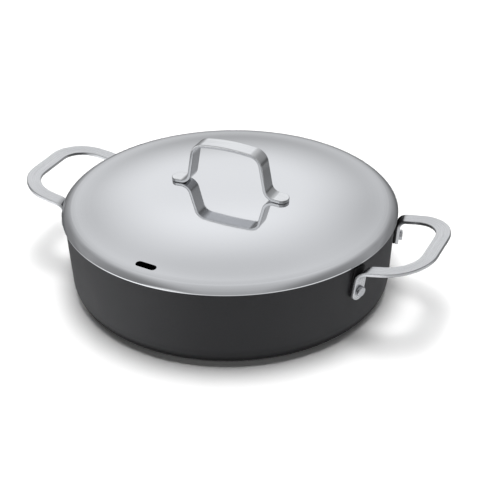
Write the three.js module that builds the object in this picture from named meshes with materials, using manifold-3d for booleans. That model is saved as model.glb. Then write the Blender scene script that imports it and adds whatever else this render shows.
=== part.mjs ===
// A lidded saute pan: a forged aluminium body with a steel induction plate set into its base, two riveted
// strap handles held off the wall by heat spacers, and a domed steel lid with an arched strap handle.
// Millimetres, +Z up. The origin is on the table under the pan's axis, and the side handles lie along X.

import * as THREE from "three";
import { mergeVertices } from "three/addons/utils/BufferGeometryUtils.js";
import Module from "manifold-3d";

const wasm = await Module();
wasm.setup();

// Fits and facets
const GAP = 0.3; // clearance between two pieces that touch
const CHORD_ERROR = 0.08; // how far a facet may stray from its arc
const ROUND_SIDES = 60; // facets around the pan and the lid
const RIVET_SIDES = 16;
const TIP_SHARES = [0.06, 0.3, 0.65, 1]; // where a strap's rounded tip has its sections, over the tip's depth
const WELD = 1e-4; // vertices closer than this are one

// Pan body
const PAN_INNER_DIAMETER = 280; // at the rim, the size the pan is sold by
const PAN_WALL = 3;
const PAN_HEIGHT = 72.4; // table to rim
const WALL_DRAFT = THREE.MathUtils.degToRad(3.2);
const FLOOR_THICKNESS = 6;
const OUTER_FILLET = 15.7; // base edge
const INNER_FILLET = 10;
const RIM_ROUND = 1.4;

// Induction plate, pressed into a recess of the base
const PLATE_DIAMETER = 232;
const PLATE_THICKNESS = 1.2;
const PLATE_GROOVES = 3;
const PLATE_GROOVE_WIDTH = 3;
const PLATE_GROOVE_DEPTH = 0.5;
const PLATE_GROOVE_PITCH = 26;

// Side handles: a flat strap bent into a loop, tilted up, whose ends turn down against the wall
const STRAP_WIDTH = 12.4;
const STRAP_THICKNESS = 3;
const STRAP_CHAMFER = 0.6;
const LOOP_REACH = 191.5; // pan axis to the loop's outer edge
const LOOP_HALF_WIDTH = 51.2; // handle axis to the loop's outer edge
const LOOP_CORNER = 30.4; // strap centre line
const LOOP_TILT = THREE.MathUtils.degToRad(9.8);
const LOOP_TOP = { x: 148, z: 69.7 }; // a point of the loop's upper face
const TAB_ANGLE = THREE.MathUtils.degToRad(19.5); // handle axis to each rivet, about the pan's axis
const TAB_LEAN = THREE.MathUtils.degToRad(8); // each tab splays away from the handle axis towards its tip
const TAB_BEND = 10; // strap centre line
const TAB_DROP = 8.6; // rivet centre to the tab's lowest point
const TAB_TIP_RADIUS = 7.5; // the tab ends in a shallow arc

// Rivets and heat spacers
const RIVET_HEIGHT = 49.8; // table to rivet centre
const SHANK_DIAMETER = 5.4;
const HEAD_DIAMETER = 8.8;
const HEAD_THICKNESS = 2.6;
const HEAD_EDGE = 0.6;
const CLENCH_DIAMETER = 10; // the low round head inside the pan
const CLENCH_THICKNESS = 1.8;
const CLENCH_EDGE = 0.5; // upright rim of that head
const CLENCH_FLAT = 5.6;
const CLENCH_ROUND = 1.5;
const SPACER_THICKNESS = 1.4;
const SPACER_RISE = 20.8; // rivet centre to the spacer's top, just under the lid
const SPACER_DROP = 8.2;

// Lid: one steel sheet, domed, folded under at the edge and turned down into a locating skirt
const LID_DIAMETER = 290;
const SHEET = 0.7;
const RIM_FACE = 1.14; // upright face where the sheet is folded under
const RIM_EDGE = 0.3; // rounding over that face
const RIM_FOLD = 0.3; // rounding under it
const RIM_RUN = 0.5; // from the shoulder's bend out to that face
const SHOULDER_RADIUS = 12;
const SHOULDER_SLOPE = THREE.MathUtils.degToRad(50); // where the shoulder meets the rim
const BORDER_SLOPE = THREE.MathUtils.degToRad(6); // where the border meets the shoulder
const DOME_EDGE_SLOPE = THREE.MathUtils.degToRad(8.2); // where the dome meets the border
const DOME_SPREAD = 119; // pan axis to where the dome meets the border
const SKIRT_CLEARANCE = 0.8; // skirt to the pan's inner wall at the rim
const SKIRT_DEPTH = 7.8;
const SKIRT_BEND = 1.5;

// Steam vent through the lid, an obround slot along the rim
const VENT_LENGTH = 19;
const VENT_WIDTH = 6.4;
const VENT_RADIUS = 128.1; // pan axis to the slot's centre
const VENT_ANGLE = THREE.MathUtils.degToRad(-95.5);

// Lid handle: an arched strap whose rounded feet are spot welded to the dome
const ARCH_WIDTH = 14.6;
const ARCH_THICKNESS = 3;
const ARCH_CHAMFER = 0.5;
const ARCH_TOP = 131; // table to the top of the grip
const ARCH_CROWN = 2.6; // rise of the grip's middle over its corners
const ARCH_CROWN_RADIUS = 150;
const ARCH_HALF_SPAN = 30.6; // strap centre line at the top corners
const ARCH_LEG_SPREAD = 6.2; // how much wider the legs stand at their feet
const ARCH_CORNER = 11;
const FOOT_BEND = 9.5;
const FOOT_REACH = 55.2; // pan axis to a foot's tip
const FOOT_TIP_RADIUS = 7.6;

// Values that follow from the driving dimensions
const PAN_INNER_RADIUS = PAN_INNER_DIAMETER / 2;
const PAN_RIM_RADIUS = PAN_INNER_RADIUS + PAN_WALL;
const PLATE_RADIUS = PLATE_DIAMETER / 2;
const RECESS_RADIUS = PLATE_RADIUS + GAP;
const RECESS_DEPTH = PLATE_THICKNESS + GAP;
const LID_RADIUS = LID_DIAMETER / 2;
const HEM_BOTTOM = PAN_HEIGHT + GAP;
const RIM_TOP = HEM_BOTTOM + RIM_FACE;
const SKIRT_RADIUS = PAN_INNER_RADIUS - SKIRT_CLEARANCE;
const SHOULDER_FOOT = LID_RADIUS - RIM_RUN; // where the shoulder's bend ends
const SHOULDER_BOTTOM = RIM_TOP + RIM_RUN * Math.tan(SHOULDER_SLOPE);
const SHOULDER_RUN = SHOULDER_RADIUS * (Math.sin(SHOULDER_SLOPE) - Math.sin(BORDER_SLOPE));
const SHOULDER_FALL = SHOULDER_RADIUS * (Math.cos(BORDER_SLOPE) - Math.cos(SHOULDER_SLOPE));
const BORDER_WIDTH = SHOULDER_FOOT - SHOULDER_RUN - DOME_SPREAD;
// The border is slightly hollow, so the lid flattens before it rolls over its shoulder
const BORDER_RADIUS = BORDER_WIDTH / (Math.sin(DOME_EDGE_SLOPE) - Math.sin(BORDER_SLOPE));
const BORDER_FALL = BORDER_RADIUS * (Math.cos(BORDER_SLOPE) - Math.cos(DOME_EDGE_SLOPE));
const DOME_RADIUS = DOME_SPREAD / Math.sin(DOME_EDGE_SLOPE);
const DOME_RISE = DOME_RADIUS * (1 - Math.cos(DOME_EDGE_SLOPE));
const DOME_TOP = SHOULDER_BOTTOM + SHOULDER_FALL + BORDER_FALL + DOME_RISE;
const TAB_OFFSET = GAP + SPACER_THICKNESS + GAP; // pan wall to the tab's back
const SHANK_HOLE = SHANK_DIAMETER / 2 + GAP;

const FINISH = {
  coatedAluminium: new THREE.MeshStandardMaterial({ color: 0x3b3b3d, roughness: 0.45, metalness: 0.3 }),
  brushedSteel: new THREE.MeshStandardMaterial({ color: 0xc9c9cc, roughness: 0.32, metalness: 1 }),
  polishedSteel: new THREE.MeshStandardMaterial({ color: 0xd8d9dc, roughness: 0.08, metalness: 1 }),
  blackSilicone: new THREE.MeshStandardMaterial({ color: 0x0b0b0c, roughness: 0.7, metalness: 0 }),
};

/** Radius of the pan's outer wall at height z. */
function wallRadius(z) {
  return PAN_RIM_RADIUS - (PAN_HEIGHT - z) * Math.tan(WALL_DRAFT);
}

/** Height of the dome's outer face at radius r. */
function domeHeight(r) {
  return DOME_TOP - DOME_RADIUS + Math.sqrt(DOME_RADIUS ** 2 - r ** 2);
}

/**
 * Follows straight legs through corner points and rounds each corner that has a radius with a tangent arc.
 * Each station has its point, its direction, the leg it leaves (from) and enters (to), and how far (share) it
 * has turned from one to the other.
 */
function roundCorners(corners) {
  const last = corners.length - 1;
  const direction = (i) => corners[i + 1].at.clone().sub(corners[i].at).normalize();
  const straight = (i, leg) => {
    return { point: corners[i].at.clone(), along: direction(leg), from: leg, to: leg, share: 0 };
  };
  const stations = [straight(0, 0)];
  for (let i = 1; i < last; i++) {
    const { at, radius = 0 } = corners[i];
    const before = direction(i - 1);
    const after = direction(i);
    const turn = before.angleTo(after);
    if (radius === 0) {
      stations.push(straight(i, i));
      continue;
    }
    const axis = before.clone().cross(after).normalize();
    const start = at.clone().addScaledVector(before, -radius * Math.tan(turn / 2));
    const inward = axis.clone().cross(before);
    const steps = Math.ceil(turn / (2 * Math.acos(1 - CHORD_ERROR / radius)));
    for (let k = 0; k <= steps; k++) {
      const angle = (turn * k) / steps;
      const point = start
        .clone()
        .addScaledVector(before, radius * Math.sin(angle))
        .addScaledVector(inward, radius * (1 - Math.cos(angle)));
      const along = before.clone().applyAxisAngle(axis, angle);
      stations.push({ point, along, from: i - 1, to: i, share: k / steps });
    }
  }
  stations.push(straight(last, last - 1));
  return stations;
}

/** A solid of revolution about Z from [radius, height, rounding] corners, outwards first, then up. */
function revolve(outline, sides) {
  const corners = outline.map(([r, z, radius]) => ({ at: new THREE.Vector3(r, z, 0), radius }));
  const profile = roundCorners(corners).map(({ point }) => new THREE.Vector2(point.x, point.y));
  return new THREE.LatheGeometry(profile, sides).rotateX(Math.PI / 2);
}

/** The closed geometry as a solid that can be cut. */
function toSolid(geometry) {
  const bare = geometry.clone().deleteAttribute("normal").deleteAttribute("uv");
  const merged = mergeVertices(bare, WELD);
  return new wasm.Manifold(
    new wasm.Mesh({
      numProp: 3,
      vertProperties: new Float32Array(merged.attributes.position.array),
      triVerts: new Uint32Array(merged.index.array),
    }),
  );
}

/** The geometry with each tool's space cut away. */
function cut(geometry, tools) {
  const solid = tools.reduce((left, tool) => left.subtract(toSolid(tool)), toSolid(geometry));
  const { vertProperties, triVerts } = solid.getMesh();
  const made = new THREE.BufferGeometry();
  made.setAttribute("position", new THREE.BufferAttribute(vertProperties, 3));
  made.setIndex(new THREE.BufferAttribute(triVerts, 1));
  made.computeVertexNormals();
  return made;
}

/** Half the strap's width at a distance from the tip of a strap that ends in an arc. */
function tipHalfWidth(distance, halfWidth, tipRadius) {
  const depth = Math.min(distance, tipRadius);
  return Math.min(halfWidth, Math.sqrt(tipRadius ** 2 - (tipRadius - depth) ** 2));
}

/**
 * A flat strap bent along legs and rounded corners, with chamfered edges and an arc at each end.
 * Each leg has the direction its upper face looks in.
 */
function bentStrap({ corners, faces, width, thickness, chamfer, tipRadius }) {
  const stations = roundCorners(corners);
  const half = width / 2;
  const tipDepth = tipRadius - Math.sqrt(tipRadius ** 2 - half ** 2);
  const ring = [];
  const addRing = (point, along, face, halfWidth) => {
    const across = face.clone().cross(along).normalize();
    const up = along.clone().cross(across);
    const corner = Math.min(chamfer, halfWidth / 2);
    const [w, t] = [halfWidth, thickness / 2];
    const section = [
      [w, corner - t], [w, t - corner], [w - corner, t], [corner - w, t],
      [-w, t - corner], [-w, corner - t], [corner - w, -t], [w - corner, -t],
    ];
    ring.push(section.map(([a, b]) => point.clone().addScaledVector(across, a).addScaledVector(up, b)));
  };
  const tip = (station, face, sign, shares) => {
    for (const share of shares) {
      const depth = tipDepth * share;
      const point = station.point.clone().addScaledVector(station.along, sign * depth);
      addRing(point, station.along, face, tipHalfWidth(depth, half, tipRadius));
    }
  };
  tip(stations[0], faces[0], 1, TIP_SHARES);
  for (const { point, along, from, to, share } of stations.slice(1, -1)) {
    addRing(point, along, faces[from].clone().lerp(faces[to], share), half);
  }
  tip(stations.at(-1), faces.at(-1), -1, TIP_SHARES.toReversed());

  const sides = ring[0].length;
  const triangles = [];
  for (let i = 0; i + 1 < ring.length; i++) {
    for (let j = 0; j < sides; j++) {
      const [a, b] = [i * sides + j, i * sides + ((j + 1) % sides)];
      triangles.push(a, b, b + sides, a, b + sides, a + sides);
    }
  }
  const end = (ring.length - 1) * sides;
  for (let j = 1; j + 1 < sides; j++) {
    triangles.push(0, j + 1, j, end, end + j, end + j + 1);
  }
  const made = new THREE.BufferGeometry().setFromPoints(ring.flat());
  made.setIndex(triangles);
  made.computeVertexNormals();
  return made;
}

/** A straight round bar along X, as a tool for rivet holes. */
function holeTool(from, to) {
  const bar = new THREE.CylinderGeometry(SHANK_HOLE, SHANK_HOLE, to - from, RIVET_SIDES);
  return bar.rotateZ(-Math.PI / 2).translate((from + to) / 2, 0, 0);
}

/** Frame of a rivet: X out of the wall along the rivet, Z up the wall, origin on the wall's outer face. */
function rivetFrame(angle) {
  const radius = wallRadius(RIVET_HEIGHT);
  return new THREE.Matrix4()
    .makeRotationZ(angle)
    .multiply(new THREE.Matrix4().makeTranslation(radius, 0, RIVET_HEIGHT))
    .multiply(new THREE.Matrix4().makeRotationY(WALL_DRAFT));
}

/** Frame of a tab on one side (-1 or 1) of the handle axis: its rivet's frame, with Z up the splayed tab. */
function tabFrame(side) {
  return rivetFrame(side * TAB_ANGLE).multiply(new THREE.Matrix4().makeRotationX(side * TAB_LEAN));
}

function panBody(rivetAngles) {
  const innerRadius = (z) => wallRadius(z) - PAN_WALL / Math.cos(WALL_DRAFT);
  const body = revolve(
    [
      [0, RECESS_DEPTH],
      [RECESS_RADIUS, RECESS_DEPTH],
      [RECESS_RADIUS, 0],
      [wallRadius(0), 0, OUTER_FILLET],
      [wallRadius(PAN_HEIGHT), PAN_HEIGHT, RIM_ROUND],
      [innerRadius(PAN_HEIGHT), PAN_HEIGHT, RIM_ROUND],
      [innerRadius(FLOOR_THICKNESS), FLOOR_THICKNESS, INNER_FILLET],
      [0, FLOOR_THICKNESS],
    ],
    ROUND_SIDES,
  );
  const holes = rivetAngles.map((angle) => holeTool(-2 * PAN_WALL, PAN_WALL).applyMatrix4(rivetFrame(angle)));
  return cut(body, holes);
}

/** A steel disc with concentric grooves in its underside, flush with the ring of the base around it. */
function inductionPlate() {
  const outline = [[0, 0]];
  for (let i = 0; i < PLATE_GROOVES; i++) {
    const start = PLATE_RADIUS - (PLATE_GROOVES - i) * PLATE_GROOVE_PITCH;
    outline.push([start, 0], [start, PLATE_GROOVE_DEPTH]);
    outline.push([start + PLATE_GROOVE_WIDTH, PLATE_GROOVE_DEPTH], [start + PLATE_GROOVE_WIDTH, 0]);
  }
  outline.push([PLATE_RADIUS, 0], [PLATE_RADIUS, PLATE_THICKNESS], [0, PLATE_THICKNESS]);
  return revolve(outline, ROUND_SIDES);
}

/** A heat spacer between wall and tab, in its rivet's frame. Its foot repeats the tab's arc. */
function spacer() {
  const half = STRAP_WIDTH / 2;
  const shoulder = Math.sqrt(TAB_TIP_RADIUS ** 2 - half ** 2);
  const centre = TAB_TIP_RADIUS - SPACER_DROP;
  const sweep = Math.atan2(half, shoulder);
  const plate = new THREE.Shape();
  plate.moveTo(half, SPACER_RISE);
  plate.lineTo(-half, SPACER_RISE);
  plate.lineTo(-half, centre - shoulder);
  plate.absarc(0, centre, TAB_TIP_RADIUS, -Math.PI / 2 - sweep, -Math.PI / 2 + sweep, false);
  plate.lineTo(half, SPACER_RISE);
  plate.holes.push(new THREE.Path().absarc(0, 0, SHANK_HOLE, 0, 2 * Math.PI, true));
  const geometry = new THREE.ExtrudeGeometry(plate, {
    depth: SPACER_THICKNESS,
    bevelEnabled: false,
    curveSegments: RIVET_SIDES / 2,
  });
  const uprightFacingOut = new THREE.Matrix4().set(0, 0, 1, GAP, 1, 0, 0, 0, 0, 1, 0, 0, 0, 0, 0, 1);
  return geometry.applyMatrix4(uprightFacingOut);
}

/** A rivet along X in its own frame: flat head outside, shank through the wall, low head inside. */
function rivet() {
  const shank = SHANK_DIAMETER / 2;
  const head = HEAD_DIAMETER / 2;
  const clench = CLENCH_DIAMETER / 2;
  const wallBulge = clench ** 2 / (2 * PAN_INNER_RADIUS); // the inner wall curves towards the head's edges
  const inside = -PAN_WALL - wallBulge - GAP;
  const outside = TAB_OFFSET + STRAP_THICKNESS + GAP;
  return revolve(
    [
      [0, inside - CLENCH_THICKNESS],
      [CLENCH_FLAT / 2, inside - CLENCH_THICKNESS, CLENCH_ROUND],
      [clench, inside - CLENCH_EDGE],
      [clench, inside],
      [shank, inside],
      [shank, outside],
      [head, outside],
      [head, outside + HEAD_THICKNESS - HEAD_EDGE],
      [head - HEAD_EDGE, outside + HEAD_THICKNESS],
      [0, outside + HEAD_THICKNESS],
    ],
    RIVET_SIDES,
  ).rotateY(Math.PI / 2);
}

/** The handle on the +X side: tab, bend, arm, end bar, and the same back again. */
function sideHandle() {
  const slope = Math.tan(LOOP_TILT);
  const loopFace = new THREE.Vector3(-Math.sin(LOOP_TILT), 0, Math.cos(LOOP_TILT));
  const belowTop = STRAP_THICKNESS / 2 / Math.cos(LOOP_TILT);
  const middleHeight = (x) => LOOP_TOP.z + (x - LOOP_TOP.x) * slope - belowTop;
  const middleX = TAB_OFFSET + STRAP_THICKNESS / 2;
  const tabPoint = (frame, rise) => new THREE.Vector3(middleX, 0, rise).applyMatrix4(frame);
  const endX = LOOP_REACH - STRAP_WIDTH / 2;
  const endY = LOOP_HALF_WIDTH - STRAP_WIDTH / 2;
  const corners = [];
  const faces = [];
  for (const side of [-1, 1]) {
    const frame = tabFrame(side);
    const foot = tabPoint(frame, -TAB_DROP);
    const upTab = tabPoint(frame, 1).sub(tabPoint(frame, 0));
    const riseToLoop = (middleHeight(foot.x) - foot.z) / (upTab.z - slope * upTab.x);
    const half = [
      { at: foot },
      { at: foot.clone().addScaledVector(upTab, riseToLoop), radius: TAB_BEND },
      { at: new THREE.Vector3(endX, side * endY, middleHeight(endX)), radius: LOOP_CORNER },
    ];
    const toWall = new THREE.Vector3(-1, 0, 0).transformDirection(frame);
    corners.push(...(side < 0 ? half : half.toReversed()));
    faces.push(...(side < 0 ? [toWall, loopFace, loopFace] : [loopFace, toWall]));
  }
  const strap = bentStrap({
    corners,
    faces,
    width: STRAP_WIDTH,
    thickness: STRAP_THICKNESS,
    chamfer: STRAP_CHAMFER,
    tipRadius: TAB_TIP_RADIUS,
  });
  const holes = [-1, 1].map((side) =>
    holeTool(0, TAB_OFFSET + 2 * STRAP_THICKNESS).applyMatrix4(tabFrame(side)),
  );
  return cut(strap, holes);
}

/** Corners of shoulder, border and dome, up to the lid's top, at a depth below the lid's outer face. */
function domeCorners(depth) {
  const downhill = (from, slope, length) => {
    return [from.x + length * Math.cos(slope), from.y - length * Math.sin(slope)];
  };
  const dome = DOME_RADIUS - depth;
  const border = BORDER_RADIUS + depth;
  const shoulder = SHOULDER_RADIUS - depth;
  const domeEdge = new THREE.Vector2(
    dome * Math.sin(DOME_EDGE_SLOPE),
    DOME_TOP - DOME_RADIUS + dome * Math.cos(DOME_EDGE_SLOPE),
  );
  const borderEdge = new THREE.Vector2(
    domeEdge.x + border * (Math.sin(DOME_EDGE_SLOPE) - Math.sin(BORDER_SLOPE)),
    domeEdge.y - border * (Math.cos(BORDER_SLOPE) - Math.cos(DOME_EDGE_SLOPE)),
  );
  const borderReach = border * Math.tan((DOME_EDGE_SLOPE - BORDER_SLOPE) / 2);
  const shoulderReach = shoulder * Math.tan((SHOULDER_SLOPE - BORDER_SLOPE) / 2);
  return [
    [...downhill(borderEdge, BORDER_SLOPE, shoulderReach), shoulder],
    [...downhill(domeEdge, DOME_EDGE_SLOPE, borderReach), border],
    [dome * Math.tan(DOME_EDGE_SLOPE / 2), DOME_TOP - depth, dome],
    [0, DOME_TOP - depth],
  ];
}

function lidShell() {
  const layer = HEM_BOTTOM + SHEET;
  const skirtBottom = HEM_BOTTOM - SKIRT_DEPTH;
  const foldTop = RIM_TOP + SHEET * (Math.tan(SHOULDER_SLOPE) - 1 / Math.cos(SHOULDER_SLOPE));
  const shell = revolve(
    [
      ...domeCorners(SHEET).toReversed(),
      [LID_RADIUS - SHEET, foldTop],
      [LID_RADIUS - SHEET, layer],
      [SKIRT_RADIUS - SHEET, layer, SKIRT_BEND],
      [SKIRT_RADIUS - SHEET, skirtBottom],
      [SKIRT_RADIUS, skirtBottom],
      [SKIRT_RADIUS, HEM_BOTTOM, SKIRT_BEND - SHEET],
      [LID_RADIUS, HEM_BOTTOM, RIM_FOLD],
      [LID_RADIUS, RIM_TOP, RIM_EDGE],
      ...domeCorners(0),
    ],
    ROUND_SIDES,
  );
  return cut(shell, [ventTool()]);
}

/** The steam vent's obround slot as an upright bar through the dome. */
function ventTool() {
  const round = VENT_WIDTH / 2;
  const straight = VENT_LENGTH / 2 - round;
  const slot = new THREE.Shape();
  slot.absarc(straight, 0, round, -Math.PI / 2, Math.PI / 2, false);
  slot.absarc(-straight, 0, round, Math.PI / 2, (3 * Math.PI) / 2, false);
  const depth = 2 * VENT_WIDTH; // well through the sheet on its slope
  const bar = new THREE.ExtrudeGeometry(slot, { depth, bevelEnabled: false, curveSegments: RIVET_SIDES / 2 });
  bar.translate(0, -VENT_RADIUS, domeHeight(VENT_RADIUS) - depth / 2);
  return bar.rotateZ(VENT_ANGLE + Math.PI / 2);
}

/** The lid's grip in the XZ plane: foot, leg, crowned top, leg, foot. */
function lidHandle() {
  const half = ARCH_THICKNESS / 2;
  const footSlope = FOOT_REACH / DOME_RADIUS;
  const footHeight = (x) => domeHeight(x) + (GAP + half) / Math.cos(footSlope);
  const legFoot = ARCH_HALF_SPAN + ARCH_LEG_SPREAD;
  const cornerHeight = ARCH_TOP - half - ARCH_CROWN;
  const crownLift = (ARCH_CROWN_RADIUS * (ARCH_CROWN / ARCH_HALF_SPAN) ** 2) / 2;
  const at = (x, z) => new THREE.Vector3(x, 0, z);
  const left = [
    { at: at(-FOOT_REACH, footHeight(FOOT_REACH)) },
    { at: at(-legFoot, footHeight(legFoot)), radius: FOOT_BEND },
    { at: at(-ARCH_HALF_SPAN, cornerHeight), radius: ARCH_CORNER },
  ];
  const right = left.map(({ at: point, radius }) => ({ at: at(-point.x, point.z), radius })).toReversed();
  const corners = [...left, { at: at(0, ARCH_TOP - half + crownLift), radius: ARCH_CROWN_RADIUS }, ...right];
  const across = new THREE.Vector3(0, 1, 0);
  const legs = corners.slice(1).map((corner, i) => corner.at.clone().sub(corners[i].at).normalize());
  const faces = legs.map((leg) => leg.clone().cross(across));
  return bentStrap({
    corners,
    faces,
    width: ARCH_WIDTH,
    thickness: ARCH_THICKNESS,
    chamfer: ARCH_CHAMFER,
    tipRadius: FOOT_TIP_RADIUS,
  });
}

const SIDES = [
  { name: "right", turn: 0 },
  { name: "left", turn: Math.PI },
];
// On which side of its handle's axis each tab lies
const TABS = [
  { name: "front", right: -1, left: 1 },
  { name: "back", right: 1, left: -1 },
];

/** A named piece with its finish. */
function piece(name, geometry, material) {
  const mesh = new THREE.Mesh(geometry, material);
  mesh.name = name;
  return mesh;
}

/** One side handle with the spacers and rivets that fix it. */
function sideHandleGroup({ name, turn }) {
  const group = new THREE.Group();
  group.rotation.z = turn;
  group.add(piece(`side_handle_${name}`, sideHandle(), FINISH.brushedSteel));
  for (const tab of TABS) {
    const seat = new THREE.Group();
    seat.applyMatrix4(tabFrame(tab[name]));
    seat.add(piece(`heat_spacer_${name}_${tab.name}`, spacer(), FINISH.blackSilicone));
    seat.add(piece(`rivet_${name}_${tab.name}`, rivet(), FINISH.brushedSteel));
    group.add(seat);
  }
  return group;
}

const rivetAngles = SIDES.flatMap(({ name, turn }) => TABS.map((tab) => turn + tab[name] * TAB_ANGLE));

const pan = new THREE.Group();
pan.add(piece("pan_body", panBody(rivetAngles), FINISH.coatedAluminium));
pan.add(piece("induction_plate", inductionPlate(), FINISH.brushedSteel));
pan.add(...SIDES.map(sideHandleGroup));

const lid = new THREE.Group();
lid.add(piece("lid_shell", lidShell(), FINISH.polishedSteel));
lid.add(piece("lid_handle", lidHandle(), FINISH.brushedSteel));

const sautePan = new THREE.Group();
sautePan.add(pan, lid);

export default sautePan;
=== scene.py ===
"""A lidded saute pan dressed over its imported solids.

The coated pan with its riveted strap handles is one body, and the mirror-polished lid with its arched handle
is the other. The classes hold their sizes in millimetres, and a mesh is made in metres.
"""
import logging
import math
from collections.abc import Callable, Sequence
from dataclasses import dataclass
from enum import Enum

import bmesh
import bpy
from mathutils import Matrix, Vector


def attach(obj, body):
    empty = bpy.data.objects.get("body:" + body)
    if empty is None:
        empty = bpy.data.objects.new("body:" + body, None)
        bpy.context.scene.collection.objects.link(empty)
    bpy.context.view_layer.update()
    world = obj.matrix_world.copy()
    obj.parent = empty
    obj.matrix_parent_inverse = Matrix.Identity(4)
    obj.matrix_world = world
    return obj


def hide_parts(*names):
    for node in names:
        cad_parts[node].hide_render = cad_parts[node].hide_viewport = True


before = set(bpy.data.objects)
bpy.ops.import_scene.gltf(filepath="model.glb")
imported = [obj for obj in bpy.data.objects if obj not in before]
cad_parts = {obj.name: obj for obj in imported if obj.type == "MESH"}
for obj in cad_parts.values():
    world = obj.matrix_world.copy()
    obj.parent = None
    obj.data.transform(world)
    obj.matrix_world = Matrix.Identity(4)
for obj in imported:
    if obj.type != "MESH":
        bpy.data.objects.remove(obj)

log = logging.getLogger("saute_pan")

MM = 0.001  # metres in a millimetre
GAP = 0.3  # mm between two pieces that touch
ARC_STEP = math.radians(6)  # largest turn between two points of an arc
ARC_SPAN = 6.0  # mm, longest chord of an arc
ARC_LEAST = 4  # fewest chords of an arc
SUPPORT = 0.4  # mm from an arc to the extra point that keeps the flat beside it flat
ROOM = 3 * SUPPORT  # mm, a flat longer than this gets extra points
CRISP = math.radians(30)  # edges that turn more than this aren't shaded smooth
WELD = 1e-6  # metres, points closer than this are one
PATH_RADIUS = 0.1  # metres, circle that a profile is carried round
PLAIN, SOFT, FINE = 1.0, 2.0, 3.0  # octaves of noise in a pattern
COLOUR_A, COLOUR_B = 6, 7  # a Mix node's inputs for colours
MOST = 3  # a Random Value node's input for its largest number
LIMITS = ("From Min", "From Max", "To Min", "To Max")  # a Map Range node's inputs
LATHE = "turned about Z"
ON_SEATS = "one on every seat"
STRAP_UV = "strap"  # metres along and around a strap
TURNING = "turning"  # metres from the axis that a rivet was turned on


class Body(Enum):
    """The bodies that pieces ride on."""

    PAN = "pan"
    LID = "lid"


class Slot(Enum):
    """The record's material slots."""

    COATED_ALUMINIUM = "coated_aluminium"
    BRUSHED_STEEL = "brushed_steel"
    POLISHED_STEEL = "polished_steel"
    BLACK_SILICONE = "black_silicone"


class Side(Enum):
    """The two side handles, by their turn about the pan's axis."""

    RIGHT = 0.0
    LEFT = math.pi


class Tab(Enum):
    """The two tabs of a side handle, by the sign of Y they have on the right side."""

    FRONT = -1
    BACK = 1


Piece = bpy.types.Object
Tree = bpy.types.NodeTree
Pair = tuple[float, float]
Tones = tuple[str, str]
Value = float | int | tuple | Vector | bpy.types.Node | bpy.types.NodeSocket | bpy.types.ID
Inputs = dict[str | int, Value]


def linear(code: str) -> tuple[float, float, float, float]:
    """Turn an sRGB hex colour into linear RGBA.

    Args:
        code: the colour as "#RRGGBB"
    Returns:
        linear red, green and blue, and full alpha
    """
    channels = [int(code[i:i + 2], 16) / 255 for i in (1, 3, 5)]
    red, green, blue = (c / 12.92 if c <= 0.04045 else ((c + 0.055) / 1.055) ** 2.4 for c in channels)
    return red, green, blue, 1.0


def per_metre(size: float) -> float:
    """Scale of a pattern whose features are this many millimetres wide."""
    return 1.0 / (size * MM)


def empty_tree(owner: bpy.types.Material | bpy.types.World) -> Tree:
    """Turn on the nodes of a material or a world and clear them.

    Args:
        owner: the material or world
    Returns:
        its empty tree
    """
    owner.use_nodes = True
    owner.node_tree.nodes.clear()
    return owner.node_tree


def add_node(tree: Tree, kind: str, inputs: Inputs | None = None, **settings: object) -> bpy.types.Node:
    """Add a node, set its properties and feed its inputs.

    Args:
        tree: the tree of a material, a world or a geometry modifier
        kind: the node type's identifier
        inputs: for each input by name or number a constant, an output, or a node whose first output it takes
        settings: the node's properties
    Returns:
        the new node
    """
    made = tree.nodes.new(kind)
    for key, value in settings.items():
        setattr(made, key, value)
    for key, value in (inputs or {}).items():
        if isinstance(value, bpy.types.Node):
            value = next(output for output in value.outputs if not output.is_unavailable)
        if isinstance(value, bpy.types.NodeSocket):
            tree.links.new(value, made.inputs[key])
        else:
            made.inputs[key].default_value = value
    return made


@dataclass(frozen=True)
class Finish:
    """What all finishes share: patterns that set tone, gloss and relief, and a material that is made once."""

    name: str = ""
    tones: Tones = ("#000000", "#FFFFFF")
    roughness: Pair = (0.5, 0.5)
    swing: Pair = (0.3, 0.7)  # values of the gloss pattern that give the two roughnesses
    depth: float = 0.0  # mm, height of the relief
    strength: float = 0.5  # share of the relief that shows
    metallic: float = 0.0

    def surface(self, tree: Tree) -> Inputs:
        """Add the finish's patterns to its tree and return what feeds the shader."""
        raise NotImplementedError

    def drawn(self, tree: Tree, tone: Value, gloss: Value | None, relief: Value | None) -> Inputs:
        """Draw patterns on the surface.

        Args:
            tree: the material's tree
            tone: the pattern that mixes the two tones
            gloss: the pattern that sets the roughness, or none for an even one
            relief: the pattern that stands out, or none for a flat surface
        Returns:
            what feeds the shader
        """
        mixed = {0: tone, COLOUR_A: linear(self.tones[0]), COLOUR_B: linear(self.tones[1])}
        fed: Inputs = {
            "Base Color": add_node(tree, "ShaderNodeMix", mixed, data_type="RGBA"),
            "Metallic": self.metallic,
            "Roughness": self.roughness[0],
        }
        if gloss is not None:
            spread = {"Value": gloss} | dict(zip(LIMITS, (*self.swing, *self.roughness)))
            fed["Roughness"] = add_node(tree, "ShaderNodeMapRange", spread)
        if relief is not None:
            raised = {"Strength": self.strength, "Distance": self.depth * MM, "Height": relief}
            fed["Normal"] = add_node(tree, "ShaderNodeBump", raised)
        return fed

    def material(self) -> bpy.types.Material:
        """Return the finish's material, made on the first call.

        Returns:
            the material
        """
        made = bpy.data.materials.get(self.name)
        if made is None:
            made = bpy.data.materials.new(self.name)
            tree = empty_tree(made)
            shader = add_node(tree, "ShaderNodeBsdfPrincipled", self.surface(tree))
            add_node(tree, "ShaderNodeOutputMaterial", {"Surface": shader})
        return made


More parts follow.
